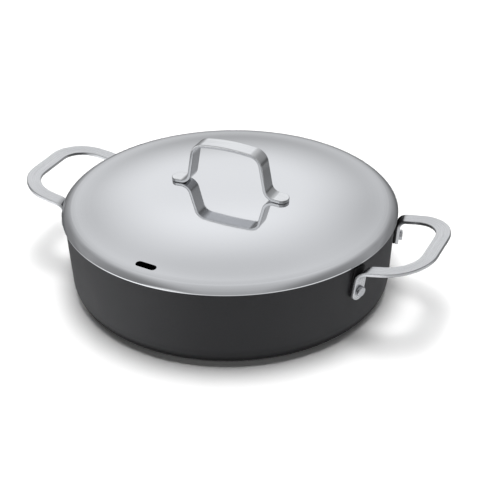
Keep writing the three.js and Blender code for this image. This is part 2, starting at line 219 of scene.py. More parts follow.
@dataclass(frozen=True)
class HardCoat(Finish):
    """Hard-anodised forged aluminium, blasted before it was coated.

    An even charcoal satin: no clear reflections, a soft pale edge where it turns away, a fine grain close up,
    and a base edge drawn darker towards the table as painted shade, and rougher there.
    """

    name: str = "hard-anodised aluminium, blasted"
    tones: Tones = ("#29292B", "#333335")
    # painted shade: the dark tone that the base edge is drawn in near the table
    base_shade_tone: str = "#141415"
    roughness: Pair = (0.36, 0.44)
    gloss: float = 0.22
    grain: float = 0.9  # mm; blasted grain is nearer 0.1, drawn coarser to show
    depth: float = 0.02
    cloud: float = 45.0  # mm, slow drift of the coating bath
    base_shading: Pair = (7.5, 18.0)  # mm above the table where the base's painted shade and roughness are full, and where they end

    def surface(self, tree: Tree) -> Inputs:
        """Add grain, drift, and the base edge's painted shade and roughness.

        Args:
            tree: the material's tree
        Returns:
            what feeds the shader
        """
        place = add_node(tree, "ShaderNodeTexCoord").outputs["Object"]
        sizes = ((self.grain, FINE), (self.cloud, SOFT))
        noises = [{"Vector": place, "Scale": per_metre(size), "Detail": detail} for size, detail in sizes]
        grain, cloud = (add_node(tree, "ShaderNodeTexNoise", noise) for noise in noises)
        fed = self.drawn(tree, grain, cloud, grain)
        height = add_node(tree, "ShaderNodeSeparateXYZ", {0: place}).outputs["Z"]
        span = dict(zip(LIMITS, (self.base_shading[0] * MM, self.base_shading[1] * MM, 1.0, 0.0)))
        base_shading = add_node(tree, "ShaderNodeMapRange", {"Value": height} | span)
        # painted shade: the base edge is drawn in a darker tone towards the table, and made fully rough
        shaded_tone = {0: base_shading, COLOUR_A: fed["Base Color"], COLOUR_B: linear(self.base_shade_tone)}
        fed["Base Color"] = add_node(tree, "ShaderNodeMix", shaded_tone, data_type="RGBA")
        dulled = {0: fed["Roughness"], 1: base_shading}
        fed["Roughness"] = add_node(tree, "ShaderNodeMath", dulled, operation="MAXIMUM")
        fed["Specular IOR Level"] = self.gloss
        return fed


@dataclass(frozen=True)
class NonStick(Finish):
    """Sprayed non-stick coating on blasted aluminium.

    Near black with a low sheen, a faint orange peel, and pale mineral flecks.
    """

    name: str = "sprayed non-stick coating"
    tones: Tones = ("#141415", "#6B6B6E")
    roughness: Pair = (0.34, 0.34)
    fleck: float = 1.1  # mm; real flecks are near 0.3, drawn coarser to show
    fleck_share: float = 0.06
    fleck_edge: Pair = (0.25, 0.4)  # shares of a cell between which a fleck fades
    peel: float = 2.2  # mm
    depth: float = 0.03
    strength: float = 0.4

    def surface(self, tree: Tree) -> Inputs:
        """Add flecks and orange peel.

        Args:
            tree: the material's tree
        Returns:
            what feeds the shader
        """
        place = add_node(tree, "ShaderNodeTexCoord").outputs["Object"]
        cells = add_node(tree, "ShaderNodeTexVoronoi", {"Vector": place, "Scale": per_metre(self.fleck)})
        pick = add_node(tree, "ShaderNodeSeparateColor", {0: cells.outputs["Color"]})
        is_fleck = add_node(tree, "ShaderNodeMath", {0: pick, 1: self.fleck_share}, operation="LESS_THAN")
        fade = dict(zip(LIMITS, (*self.fleck_edge, 1.0, 0.0)))
        near = add_node(tree, "ShaderNodeMapRange", {"Value": cells} | fade)
        speck = add_node(tree, "ShaderNodeMath", {0: is_fleck, 1: near}, operation="MULTIPLY")
        spray = {"Vector": place, "Scale": per_metre(self.peel), "Detail": PLAIN}
        return self.drawn(tree, speck, None, add_node(tree, "ShaderNodeTexNoise", spray))


@dataclass(frozen=True)
class RingSteel(Finish):
    """Steel finished while it turned about the pan's axis.

    Fine rings about the axis that break up the gloss: hardly there on a mirror polish, plain to see on a spun
    surface.
    """

    tones: Tones = ("#E0E1E3", "#DADBDD")
    roughness: Pair = (0.05, 0.08)
    swing: Pair = (0.7, 1.3)  # for two patterns added up
    metallic: float = 1.0
    ring: float = 0.8  # mm; polishing lines are far finer, drawn coarser to show
    drift: float = 60.0  # mm, slow change of the gloss

    def surface(self, tree: Tree) -> Inputs:
        """Add the rings and the slow drift.

        Args:
            tree: the material's tree
        Returns:
            what feeds the shader
        """
        place = add_node(tree, "ShaderNodeTexCoord").outputs["Object"]
        flat = add_node(tree, "ShaderNodeVectorMath", {0: place, 1: (1.0, 1.0, 0.0)}, operation="MULTIPLY")
        radius = add_node(tree, "ShaderNodeVectorMath", {0: flat}, operation="LENGTH")
        lines = {"W": radius, "Scale": per_metre(self.ring), "Detail": SOFT}
        rings = add_node(tree, "ShaderNodeTexNoise", lines, noise_dimensions="1D")
        slow = {"Vector": place, "Scale": per_metre(self.drift), "Detail": SOFT}
        drift = add_node(tree, "ShaderNodeTexNoise", slow)
        both = add_node(tree, "ShaderNodeMath", {0: rings, 1: drift}, operation="ADD")
        return self.drawn(tree, rings, both, rings if self.depth > 0.0 else None)


@dataclass(frozen=True)
class BrushedSteel(Finish):
    """Stainless strap brushed along its length.

    Silvery satin: reflections smear across the strap, and fine streaks run along it round every bend.
    """

    name: str = "stainless steel, brushed along the strap"
    tones: Tones = ("#E2E3E4", "#C8C9CB")
    roughness: Pair = (0.22, 0.32)
    metallic: float = 1.0
    stroke: float = 45.0  # mm, length of a brush mark
    mark: float = 0.6  # mm; brush marks are near 0.1, drawn coarser to show
    depth: float = 0.008
    strength: float = 0.4
    smear: float = 0.85
    smear_turn: float = 0.25  # of a full turn, from along the strap to across it

    def surface(self, tree: Tree) -> Inputs:
        """Add brush marks along the strap.

        Args:
            tree: the material's tree
        Returns:
            what feeds the shader
        """
        lay = add_node(tree, "ShaderNodeUVMap", uv_map=STRAP_UV)
        scale = (per_metre(self.stroke), per_metre(self.mark), 1.0)
        brushed = add_node(tree, "ShaderNodeMapping", {"Vector": lay, "Scale": scale})
        marks = add_node(tree, "ShaderNodeTexNoise", {"Vector": brushed, "Scale": 1.0, "Detail": FINE})
        along = add_node(tree, "ShaderNodeTangent", direction_type="UV_MAP", uv_map=STRAP_UV)
        smear = {"Anisotropic": self.smear, "Anisotropic Rotation": self.smear_turn, "Tangent": along}
        return self.drawn(tree, marks, marks, marks) | smear


@dataclass(frozen=True)
class TurnedSteel(Finish):
    """Rivet steel turned on a lathe.

    Bright metal with rings about each rivet's own axis.
    """

    name: str = "stainless steel, turned"
    tones: Tones = ("#DCDDDF", "#B9BABD")
    roughness: Pair = (0.16, 0.28)
    metallic: float = 1.0
    ring: float = 0.5  # mm; tool marks are near 0.1, drawn coarser to show
    depth: float = 0.01
    strength: float = 0.4

    def surface(self, tree: Tree) -> Inputs:
        """Add tool marks about the rivet's axis.

        Args:
            tree: the material's tree
        Returns:
            what feeds the shader
        """
        radius = add_node(tree, "ShaderNodeAttribute", attribute_name=TURNING).outputs["Fac"]
        lines = {"W": radius, "Scale": per_metre(self.ring), "Detail": SOFT}
        rings = add_node(tree, "ShaderNodeTexNoise", lines, noise_dimensions="1D")
        return self.drawn(tree, rings, rings, rings)


@dataclass(frozen=True)
class Silicone(Finish):
    """Moulded black silicone rubber.

    Matte black, slightly greyer where the mould was textured.
    """

    name: str = "silicone rubber, moulded matte"
    tones: Tones = ("#0C0C0D", "#171719")
    roughness: Pair = (0.68, 0.68)
    texture: float = 0.7  # mm; mould texture is near 0.2, drawn coarser to show
    depth: float = 0.03

    def surface(self, tree: Tree) -> Inputs:
        """Add the mould's texture.

        Args:
            tree: the material's tree
        Returns:
            what feeds the shader
        """
        place = add_node(tree, "ShaderNodeTexCoord").outputs["Object"]
        grit = {"Vector": place, "Scale": per_metre(self.texture), "Detail": SOFT}
        texture = add_node(tree, "ShaderNodeTexNoise", grit)
        return self.drawn(tree, texture, None, texture)


# Buffed on a wheel: clear reflections, which the rings only just soften
MIRROR_POLISH = RingSteel("stainless steel, mirror polished")
# As it left the spinning tool: greyer, with rings that catch the light
SPUN = RingSteel(
    "stainless steel, spun", tones=("#C9CACD", "#B5B6B9"), roughness=(0.2, 0.32), ring=0.9, depth=0.01
)
# Faced on a lathe: dull and darker, with coarse rings
MACHINED_PLATE = RingSteel(
    "ferritic steel plate, faced", tones=("#B9B9BB", "#929295"), roughness=(0.26, 0.42), ring=1.2, depth=0.02
)
# Brushed with a finer grit: brighter, and its reflections hold together
FINE_BRUSHING = BrushedSteel(
    "stainless steel, finely brushed along the strap", tones=("#F0F1F2", "#D8D9DB"), roughness=(0.14, 0.22)
)


@dataclass(frozen=True)
class Bend:
    """A corner of a path in mm and the radius that it is rounded to."""

    at: Vector
    radius: float = 0.0


@dataclass(frozen=True)
class Station:
    """A point of a rounded path in mm.

    The leg is the number of the straight that the point is on, and lies between two numbers inside a bend.
    """

    at: Vector
    along: Vector
    leg: float


def follow(bends: Sequence[Bend]) -> list[Station]:
    """Follow straight legs through corners, and round each corner that has a radius with a tangent arc.

    Args:
        bends: the corners, with the path's two ends
    Returns:
        the stations, with one more beside each arc where its neighbours leave room
    """
    legs = [(b.at - a.at).normalized() for a, b in zip(bends, bends[1:])]
    turns = [0.0] + [a.angle(b) for a, b in zip(legs, legs[1:])] + [0.0]
    setbacks = [bend.radius * math.tan(turn / 2) for bend, turn in zip(bends, turns)]
    free = [(bends[i + 1].at - bends[i].at).length - setbacks[i] - setbacks[i + 1] for i in range(len(legs))]
    stations = [Station(bends[0].at, legs[0], 0.0)]
    for i in range(1, len(bends) - 1):
        bend, before, after = bends[i], legs[i - 1], legs[i]
        if setbacks[i] == 0.0:
            stations.append(Station(bend.at, after, float(i)))
            continue
        inward = before.cross(after).normalized().cross(before)
        start = bend.at - before * setbacks[i]
        if free[i - 1] > ROOM:
            stations.append(Station(start - before * SUPPORT, before, i - 1.0))
        count = max(ARC_LEAST, math.ceil(turns[i] / ARC_STEP), math.ceil(bend.radius * turns[i] / ARC_SPAN))
        for k in range(count + 1):
            angle = turns[i] * k / count
            sine, cosine = math.sin(angle), math.cos(angle)
            at = start + before * (bend.radius * sine) + inward * (bend.radius * (1 - cosine))
            stations.append(Station(at, before * cosine + inward * sine, i - 1 + k / count))
        if free[i] > ROOM:
            stations.append(Station(bend.at + after * (setbacks[i] + SUPPORT), after, float(i)))
    stations.append(Station(bends[-1].at, legs[-1], len(legs) - 1.0))
    kept = stations[:1]
    for station in stations[1:]:
        if (station.at - kept[-1].at).length * MM > WELD:
            kept.append(station)
    return kept


def new_object(
    name: str, points: Sequence[Sequence[float]], edges: Sequence[tuple] = (), faces: Sequence[tuple] = ()
) -> Piece:
    """Make a mesh and put it into the scene as an object at the origin.

    Args:
        name: the name of both
        points: the mesh's points in metres
        edges: the points of each edge that is on no face
        faces: the points of each face
    Returns:
        the object
    """
    mesh = bpy.data.meshes.new(name)
    mesh.from_pydata(points, edges, faces)
    made = bpy.data.objects.new(name, mesh)
    bpy.context.scene.collection.objects.link(made)
    return made


def discard(piece: Piece) -> None:
    """Delete a piece that is used up, and its mesh.

    Args:
        piece: the piece
    """
    mesh = piece.data
    bpy.data.objects.remove(piece)
    bpy.data.meshes.remove(mesh)


def settle(piece: Piece) -> None:
    """Turn what a piece's modifiers make into its plain mesh and remove them.

    Args:
        piece: the piece
    """
    bpy.context.view_layer.update()
    depsgraph = bpy.context.evaluated_depsgraph_get()
    rough = piece.data
    piece.data = bpy.data.meshes.new_from_object(
        piece.evaluated_get(depsgraph), preserve_all_data_layers=True, depsgraph=depsgraph
    )
    piece.data.name = piece.name
    piece.modifiers.clear()
    bpy.data.meshes.remove(rough)


def close_up(piece: Piece) -> None:
    """Weld a closed piece's seams, point its faces outwards, and shade it smooth up to its crisp edges.

    Args:
        piece: the piece
    """
    shell = bmesh.new()
    shell.from_mesh(piece.data)
    bmesh.ops.remove_doubles(shell, verts=shell.verts, dist=WELD)
    bmesh.ops.recalc_face_normals(shell, faces=shell.faces)
    shell.to_mesh(piece.data)
    shell.free()
    piece.data.shade_smooth()
    piece.data.set_sharp_from_angle(angle=CRISP)


def cut(piece: Piece, tools: Sequence[Piece]) -> None:
    """Cut tools out of a piece and close it up again.

    Args:
        piece: the piece
        tools: the cutting tools, which are used up
    """
    for tool in tools:
        cutter = piece.modifiers.new(tool.name, "BOOLEAN")
        cutter.operation = "DIFFERENCE"
        cutter.solver = "EXACT"
        cutter.object = tool
    settle(piece)
    for tool in tools:
        discard(tool)
    close_up(piece)


def paint(piece: Piece, finish: Finish, belongs: Callable[[Vector, Vector], bool]) -> None:
    """Give another finish to some of a piece's faces.

    Args:
        piece: the piece, which has its first finish already
        finish: the other finish
        belongs: says from a face's centre in mm and its normal whether the face takes it
    """
    piece.data.materials.append(finish.material())
    index = len(piece.data.materials) - 1
    for face in piece.data.polygons:
        if belongs(face.center / MM, face.normal):
            face.material_index = index


def declare(piece: Piece, body: Body, slot: Slot, *nodes: str) -> None:
    """Hang a finished piece on the body that it rides on, hide the solids that it stands for, and log its
    size.

    Args:
        piece: the piece
        body: the body that it rides on
        slot: the record's slot that its finish comes from; not used
        nodes: the solids that it stands for
    """
    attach(piece, body.value)
    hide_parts(*nodes)
    faces = len(piece.data.polygons)
    log.info("%s: %d faces, on %s, for %s", piece.name, faces, body.value, ", ".join(nodes))


def bar(name: str, outline: Sequence[Pair], depth: float, place: Matrix) -> Piece:
    """Make a straight bar along Z as a cutting tool.

    Args:
        name: the tool's name
        outline: its section's points in mm, anticlockwise
        depth: its length in mm, half to each side
        place: where it goes, in mm
    Returns:
        the tool
    """
    count = len(outline)
    ends = [place @ Vector((x, y, z)) * MM for z in (-depth / 2, depth / 2) for x, y in outline]
    sides = [(i, (i + 1) % count, count + (i + 1) % count, count + i) for i in range(count)]
    caps = [tuple(range(count - 1, -1, -1)), tuple(range(count, 2 * count))]
    return new_object(name, ends, faces=sides + caps)


def new_tree(name: str, inputs: dict[str, str]) -> tuple[Tree, bpy.types.NodeOutputs]:
    """Start a geometry tree.

    Args:
        name: the tree's name
        inputs: the kind of each named input after the geometry
    Returns:
        the tree, and the outputs of its group input
    """
    tree = bpy.data.node_groups.new(name, "GeometryNodeTree")
    for label, kind in ({"Geometry": "Geometry"} | inputs).items():
        tree.interface.new_socket(label, in_out="INPUT", socket_type=f"NodeSocket{kind}")
    tree.interface.new_socket("Geometry", in_out="OUTPUT", socket_type="NodeSocketGeometry")
    return tree, add_node(tree, "NodeGroupInput").outputs


def end_tree(tree: Tree, made: Value, material: bpy.types.NodeSocket) -> Tree:
    """End a geometry tree: realise instances and set the material.

    Args:
        tree: the tree
        made: the geometry that it has made
        material: the input that gives the material
    Returns:
        the tree
    """
    real = add_node(tree, "GeometryNodeRealizeInstances", {"Geometry": made})
    dressed = add_node(tree, "GeometryNodeSetMaterial", {"Geometry": real, "Material": material})
    add_node(tree, "NodeGroupOutput", {"Geometry": dressed})
    return tree


def grow(piece: Piece, tree: Tree, values: dict[str, object]) -> None:
    """Run a geometry tree on a piece and keep the result as its plain mesh.

    Args:
        piece: the object whose mesh the tree starts from
        tree: the geometry tree
        values: the tree's inputs by name
    """
    modifier = piece.modifiers.new(tree.name, "NODES")
    modifier.node_group = tree
    for item in tree.interface.items_tree:
        if item.in_out == "INPUT" and item.name in values:
            modifier[item.identifier] = values[item.name]
    settle(piece)


def lathe_tree() -> Tree:
    """Build the tree that carries a profile round a circle about Z.

    Returns:
        the tree
    """
    sizes = {"Segments": "Int", "Path radius": "Float", "Weld": "Float"}
    tree, given = new_tree(LATHE, sizes | {"Material": "Material"})
    profile = add_node(tree, "GeometryNodeMeshToCurve", {"Mesh": given["Geometry"]})
    ring = {"Resolution": given["Segments"], "Radius": given["Path radius"]}
    path = add_node(tree, "GeometryNodeCurvePrimitiveCircle", ring)
    turned = add_node(tree, "GeometryNodeCurveToMesh", {"Curve": path, "Profile Curve": profile})
    welded = add_node(tree, "GeometryNodeMergeByDistance", {"Geometry": turned, "Distance": given["Weld"]})
    return end_tree(tree, welded, given["Material"])


def seats_tree() -> Tree:
    """Build the tree that puts a piece on every seat, each with its own seeded spin.

    Returns:
        the tree
    """
    kinds = {"Piece": "Object", "Spin": "Float", "Seed": "Int", "Material": "Material"}
    tree, given = new_tree(ON_SEATS, kinds)
    stock = add_node(tree, "GeometryNodeObjectInfo", {"Object": given["Piece"], "As Instance": True})
    tilt = add_node(tree, "GeometryNodeInputNamedAttribute", {"Name": "tilt"}, data_type="FLOAT_VECTOR")
    seated = add_node(tree, "FunctionNodeEulerToRotation", {0: tilt})
    draw = {MOST: given["Spin"], "Seed": given["Seed"]}
    chance = add_node(tree, "FunctionNodeRandomValue", draw, data_type="FLOAT")
    spin = add_node(tree, "FunctionNodeAxisAngleToRotation", {"Axis": (0.0, 0.0, 1.0), "Angle": chance})
    both = {"Rotation": seated, "Rotate By": spin}
    turned = add_node(tree, "FunctionNodeRotateRotation", both, rotation_space="LOCAL")
    copies = {"Points": given["Geometry"], "Instance": stock.outputs["Geometry"], "Rotation": turned}
    return end_tree(tree, add_node(tree, "GeometryNodeInstanceOnPoints", copies), given["Material"])


def turn(name: str, corners: Sequence[tuple[float, ...]], segments: int, finish: Finish) -> Piece:
    """Turn a profile into a closed piece about Z.

    Args:
        name: the piece's name
        corners: radius, height and rounding of each corner in mm, from the axis out and back to it
        segments: how many steps one turn has
        finish: the piece's finish
    Returns:
        the piece
    """
    path = follow([Bend(Vector((r, z, 0.0)), *rounding) for r, z, *rounding in corners])
    points = [(station.at.x * MM - PATH_RADIUS, -station.at.y * MM, 0.0) for station in path]
    piece = new_object(name, points, edges=[(i, i + 1) for i in range(len(points) - 1)])
    sizes = {"Segments": segments, "Path radius": PATH_RADIUS, "Weld": WELD}
    tree = bpy.data.node_groups.get(LATHE) or lathe_tree()
    grow(piece, tree, sizes | {"Material": finish.material()})
    close_up(piece)
    return piece


@dataclass(frozen=True)
class Stock:
    """Flat bar in mm: its section, how far its edges are rounded, and how its two ends are."""

    width: float
    thickness: float
    edge: float
    tips: tuple[float | None, float | None]  # radius of the arc at each end, or none for a square end
    tip_corner: float = 1.0  # rounding where the arc meets the strap's sides

    def tip(self, radius: float | None) -> list[tuple[float, float, float, float]]:
        """Follow one end's outline from its middle to the strap's side.

        Args:
            radius: the end's arc, or none for a square end
        Returns:
            depth from the tip, distance from the middle, and the outward normal's same two parts
        """
        half, corner = self.width / 2, self.tip_corner
        if radius is None:
            centre, first = corner, 0.0
            points = [(0.0, 0.0, -1.0, 0.0)]
        else:
            run = math.sqrt((radius - corner) ** 2 - (half - corner) ** 2)
            centre, first = radius - run, math.atan2(half - corner, run)
            count = math.ceil(first / ARC_STEP)
            arc = [(math.cos(first * k / count), math.sin(first * k / count)) for k in range(count)]
            points = [(radius * (1 - c), radius * s, -c, s) for c, s in arc]
        count = math.ceil((math.pi / 2 - first) / (2 * ARC_STEP))
        for k in range(count + 1):
            a = first + (math.pi / 2 - first) * k / count
            c, s = math.cos(a), math.sin(a)
            points.append((centre - corner * c, half - corner + corner * s, -c, s))
        return points

    def section(self) -> list[tuple[float, float, float]]:
        """Go round one edge, from the upper face to the lower.

        Returns:
            inset and height, and the way round from the upper face's middle
        """
        rim = self.thickness / 2
        upper = [(self.edge + SUPPORT, rim), (self.edge, rim)]
        for k in range(1, ARC_LEAST + 1):
            a = math.pi / 2 * k / ARC_LEAST
            upper.append((self.edge * (1 - math.sin(a)), rim - self.edge * (1 - math.cos(a))))
        ring = upper + [(inset, -height) for inset, height in reversed(upper)]
        way = [self.width / 2 - ring[0][0]]
        for (a, b), (c, d) in zip(ring, ring[1:]):
            way.append(way[-1] + math.hypot(c - a, d - b))
        return [(inset, height, s) for (inset, height), s in zip(ring, way)]


def bend_strap(name: str, bends: Sequence[Bend], faces: Sequence[Vector], stock: Stock) -> Piece:
    """Bend a flat bar along a path.

    Args:
        name: the piece's name
        bends: the middle line's corners in mm
        faces: the direction that the upper face looks in, for each straight leg
        stock: the bar
    Returns:
        the closed strap, with a UV map in metres along and around it
    """
    path = follow(bends)
    reach = [0.0]
    for a, b in zip(path, path[1:]):
        reach.append(reach[-1] + (b.at - a.at).length)
    frames = []
    for station in path:
        low = min(int(station.leg), len(faces) - 1)
        high = min(low + 1, len(faces) - 1)
        across = faces[low].lerp(faces[high], station.leg - low).cross(station.along).normalized()
        frames.append((station.at, station.along, across, station.along.cross(across)))

    # Half of the outline from above, each point with the station that it hangs on and how far it is from it
    half, length = stock.width / 2, reach[-1]
    head, tail = stock.tip(stock.tips[0]), stock.tip(stock.tips[1])
    outline = [(depth, v, du, dv, 0, depth) for depth, v, du, dv in head]
    for i, u in enumerate(reach):
        if head[-1][0] + SUPPORT / 4 < u < length - tail[-1][0] - SUPPORT / 4:
            outline.append((u, half, 0.0, 1.0, i, 0.0))
    outline += [(length - depth, v, -du, dv, len(path) - 1, -depth) for depth, v, du, dv in reversed(tail)]

    # One ring of points for each step of the section
    points, lay = [], []
    last = len(outline) - 1
    ring_size = 2 * last
    section = stock.section()
    for inset, height, way in section:
        for sign, row in ((1, outline), (-1, outline[last - 1:0:-1])):
            for u, v, du, dv, i, slip in row:
                at, along, across, up = frames[i]
                out = sign * (v - inset * dv)
                points.append((at + along * (slip - inset * du) + across * out + up * height) * MM)
                lay.append(((u - inset * du) * MM, sign * way * MM))

    # Faces between the rings, then the upper and the lower face as strips across
    rings = [[k * ring_size + j for j in range(ring_size)] for k in range(len(section))]
    quads = []
    for upper, lower in zip(rings, rings[1:]):
        for j in range(ring_size):
            n = (j + 1) % ring_size
            quads.append((upper[j], upper[n], lower[n], lower[j]))
    for ring, order in ((rings[0], -1), (rings[-1], 1)):
        for i in range(last):
            far = ring[(ring_size - i - 1) % ring_size], ring[(ring_size - i) % ring_size]
            quads.append(tuple(dict.fromkeys((ring[i], ring[i + 1], *far)))[::order])
    piece = new_object(name, points, faces=quads)
    layer = piece.data.uv_layers.new(name=STRAP_UV)
    for loop in piece.data.loops:
        layer.data[loop.index].uv = lay[loop.vertex_index]
    close_up(piece)
    return piece


@dataclass(frozen=True)
class PanBody:
    """The forged pan: base with a recess for its plate, drafted wall, rounded rim. Sizes in mm."""

    inner_diameter: float = 280.0
    wall: float = 3.0
    height: float = 72.4
    draft: float = math.radians(3.2)
    floor: float = 6.0
    outer_fillet: float = 15.7
    inner_fillet: float = 10.0
    rim_round: float = 1.4
    recess_radius: float = 116.3
    recess_depth: float = 1.5
    hole_band: float = 7.0  # rows above and below the rivets that keep their holes' facets local
    segments: int = 240

    def wall_radius(self, height: float) -> float:
        """Radius of the outer wall at a height."""
        return self.inner_diameter / 2 + self.wall - (self.height - height) * math.tan(self.draft)

    def inner_radius(self, height: float) -> float:
        """Radius of the inner wall at a height."""
        return self.wall_radius(height) - self.wall / math.cos(self.draft)

    def is_coated(self, at: Vector, facing: Vector) -> bool:
        """Say whether a face is on the inside, which is sprayed.

        Args:
            at: the face's centre
            facing: its normal
        Returns:
            whether it takes the non-stick coating
        """
        middle = self.wall_radius(at.z) - self.wall / 2 / math.cos(self.draft)
        return at.z > self.floor - GAP and facing.z > 0.0 and math.hypot(at.x, at.y) < middle

    def build(self, seats: "Seats") -> None:
        """Turn the pan, drill its rivet holes and dress it.

        Args:
            seats: where the rivets go
        """
        low, high = seats.height - self.hole_band, seats.height + self.hole_band
        corners = [
            (0.0, self.recess_depth),
            (self.recess_radius, self.recess_depth),
            (self.recess_radius, 0.0),
            (self.wall_radius(0.0), 0.0, self.outer_fillet),
            (self.wall_radius(low), low),
            (self.wall_radius(high), high),
            (self.wall_radius(self.height), self.height, self.rim_round),
            (self.inner_radius(self.height), self.height, self.rim_round),
            (self.inner_radius(high), high),
            (self.inner_radius(low), low),
            (self.inner_radius(self.floor), self.floor, self.inner_fillet),
            (0.0, self.floor),
        ]
        piece = turn("coated_pan", corners, self.segments, HardCoat())
        cut(piece, seats.drills())
        paint(piece, NonStick(), self.is_coated)
        declare(piece, Body.PAN, Slot.COATED_ALUMINIUM, "pan_body")


@dataclass(frozen=True)
class InductionPlate:
    """The steel plate pressed into the base, with ring grooves in its underside. Sizes in mm."""

    diameter: float = 232.0
    thickness: float = 1.2
    grooves: int = 3
    groove_width: float = 3.0
    groove_depth: float = 0.5
    groove_pitch: float = 26.0
    groove_round: float = 0.2
    segments: int = 192

    def build(self) -> None:
        """Turn the plate and dress it."""
        radius = self.diameter / 2
        corners: list[tuple[float, ...]] = [(0.0, 0.0)]
        for i in range(self.grooves):
            start = radius - (self.grooves - i) * self.groove_pitch
            end = start + self.groove_width
            corners += [(start, 0.0, self.groove_round), (start, self.groove_depth)]
            corners += [(end, self.groove_depth), (end, 0.0, self.groove_round)]
        corners += [(radius, 0.0, self.groove_round), (radius, self.thickness), (0.0, self.thickness)]
        piece = turn("base_plate", corners, self.segments, MACHINED_PLATE)
        declare(piece, Body.PAN, Slot.BRUSHED_STEEL, "induction_plate")


@dataclass(frozen=True)
class Seats:
    """Where the four tabs sit on the wall: X across the tab, Y up it and Z out of the wall. Sizes in mm."""

    pan: PanBody
    height: float = 49.8  # table to rivet
    angle: float = math.radians(19.5)  # handle axis to a rivet, about the pan's axis
    lean: float = math.radians(8)  # how far the tabs splay away from the handle axis
    hole_radius: float = 3.0
    hole_sides: int = 32
    drill_length: float = 24.0
    seed: int = 7

    def place(self, side: Side, tab: Tab) -> Matrix:
        """Find one seat.

        Args:
            side: the handle
            tab: its tab
        Returns:
            the seat's frame in mm, with its origin on the wall's outer face
        """
        sign = tab.value if side is Side.RIGHT else -tab.value
        outward = Matrix(((0, 0, 1, 0), (1, 0, 0, 0), (0, 1, 0, 0), (0, 0, 0, 1)))
        return (
            Matrix.Rotation(side.value + sign * self.angle, 4, "Z")
            @ Matrix.Translation((self.pan.wall_radius(self.height), 0.0, self.height))
            @ Matrix.Rotation(self.pan.draft, 4, "Y")
            @ Matrix.Rotation(sign * self.lean, 4, "X")
            @ outward
        )

    def drill(self, place: Matrix) -> Piece:
        """Make the drill for a rivet's hole.

        Args:
            place: the hole's frame, with Z along the hole
        Returns:
            the drill, as a cutting tool
        """
        angles = [2 * math.pi / self.hole_sides * i for i in range(self.hole_sides)]
        outline = [(self.hole_radius * math.cos(a), self.hole_radius * math.sin(a)) for a in angles]
        return bar("drill", outline, self.drill_length, place)

    def drills(self, *sides: Side) -> list[Piece]:
        """Return the drills for the holes of some handles, or of both when none is named."""
        return [self.drill(self.place(side, tab)) for side in sides or Side for tab in Tab]

    def fill(self, name: str, stock: Piece, spin: float, finish: Finish) -> Piece:
        """Put a copy of a piece on every seat.

        Args:
            name: the name of the four together
            stock: the piece in its seat's frame, which is used up
            spin: the most that a copy is turned about its seat's Z, in radians
            finish: the copies' finish
        Returns:
            the four copies as one piece
        """
        places = [self.place(side, tab) for side in Side for tab in Tab]
        piece = new_object(name, [place.translation * MM for place in places])
        tilt = piece.data.attributes.new("tilt", "FLOAT_VECTOR", "POINT")
        for i, place in enumerate(places):
            tilt.data[i].vector = place.to_euler()
        tree = bpy.data.node_groups.get(ON_SEATS) or seats_tree()
        grow(piece, tree, {"Piece": stock, "Spin": spin, "Seed": self.seed, "Material": finish.material()})
        discard(stock)
        return piece

    def nodes(self, kind: str) -> list[str]:
        """Return the names of the four solids of a kind."""
        return [f"{kind}_{side.name}_{tab.name}".lower() for side in Side for tab in Tab]


@dataclass(frozen=True)
class HeatSpacers:
    """The silicone pads between wall and tabs. Sizes in mm."""

    seats: Seats
    stock: Stock = Stock(width=12.4, thickness=1.4, edge=0.25, tips=(7.5, None), tip_corner=1.2)
    rise: float = 20.8  # rivet centre to the pad's top
    drop: float = 8.2  # rivet centre to the pad's lowest point

    def build(self) -> None:
        """Cut one pad, put it on every seat and dress the four."""
        out = GAP + self.stock.thickness / 2
        ends = [Bend(Vector((0.0, y, out))) for y in (-self.drop, self.rise)]
        pad = bend_strap("pad", ends, [Vector((0.0, 0.0, 1.0))], self.stock)
        cut(pad, [self.seats.drill(Matrix.Identity(4))])
        piece = self.seats.fill("heat_spacers", pad, 0.0, Silicone())
        declare(piece, Body.PAN, Slot.BLACK_SILICONE, *self.seats.nodes("heat_spacer"))


@dataclass(frozen=True)
class Rivets:
    """The four rivets, each with a flat head outside and a low round one inside. Sizes in mm."""

    seats: Seats
    shank_diameter: float = 5.4
    head_diameter: float = 8.8
    head_thickness: float = 2.6
    head_edge: float = 0.6
    head_rim: float = 0.15  # rounding of the head's lower edge
    head_base: float = 5.3  # wall to the underside of the head
    clench_diameter: float = 10.0
    clench_thickness: float = 1.8
    clench_edge: float = 0.5
    clench_rim: float = 0.3
    clench_flat: float = 5.6
    clench_round: float = 1.5
    segments: int = 48

    def build(self) -> None:
        """Turn one rivet, put it on every seat and dress the four."""
        shank, head, clench = self.shank_diameter / 2, self.head_diameter / 2, self.clench_diameter / 2
        pan = self.seats.pan
        inside = -pan.wall - clench**2 / pan.inner_diameter - GAP
        top = self.head_base + self.head_thickness
        corners = [
            (0.0, inside - self.clench_thickness),
            (self.clench_flat / 2, inside - self.clench_thickness, self.clench_round),
            (clench, inside - self.clench_edge, self.clench_rim),
            (clench, inside),
            (shank, inside),
            (shank, self.head_base),
            (head, self.head_base, self.head_rim),
            (head, top, self.head_edge),
            (0.0, top),
        ]
        rivet = turn("rivet", corners, self.segments, TurnedSteel())
        radius = rivet.data.attributes.new(TURNING, "FLOAT", "POINT")
        for i, vertex in enumerate(rivet.data.vertices):
            radius.data[i].value = math.hypot(vertex.co.x, vertex.co.y)
        piece = self.seats.fill("rivets", rivet, 2 * math.pi, TurnedSteel())
        declare(piece, Body.PAN, Slot.BRUSHED_STEEL, *self.seats.nodes("rivet"))


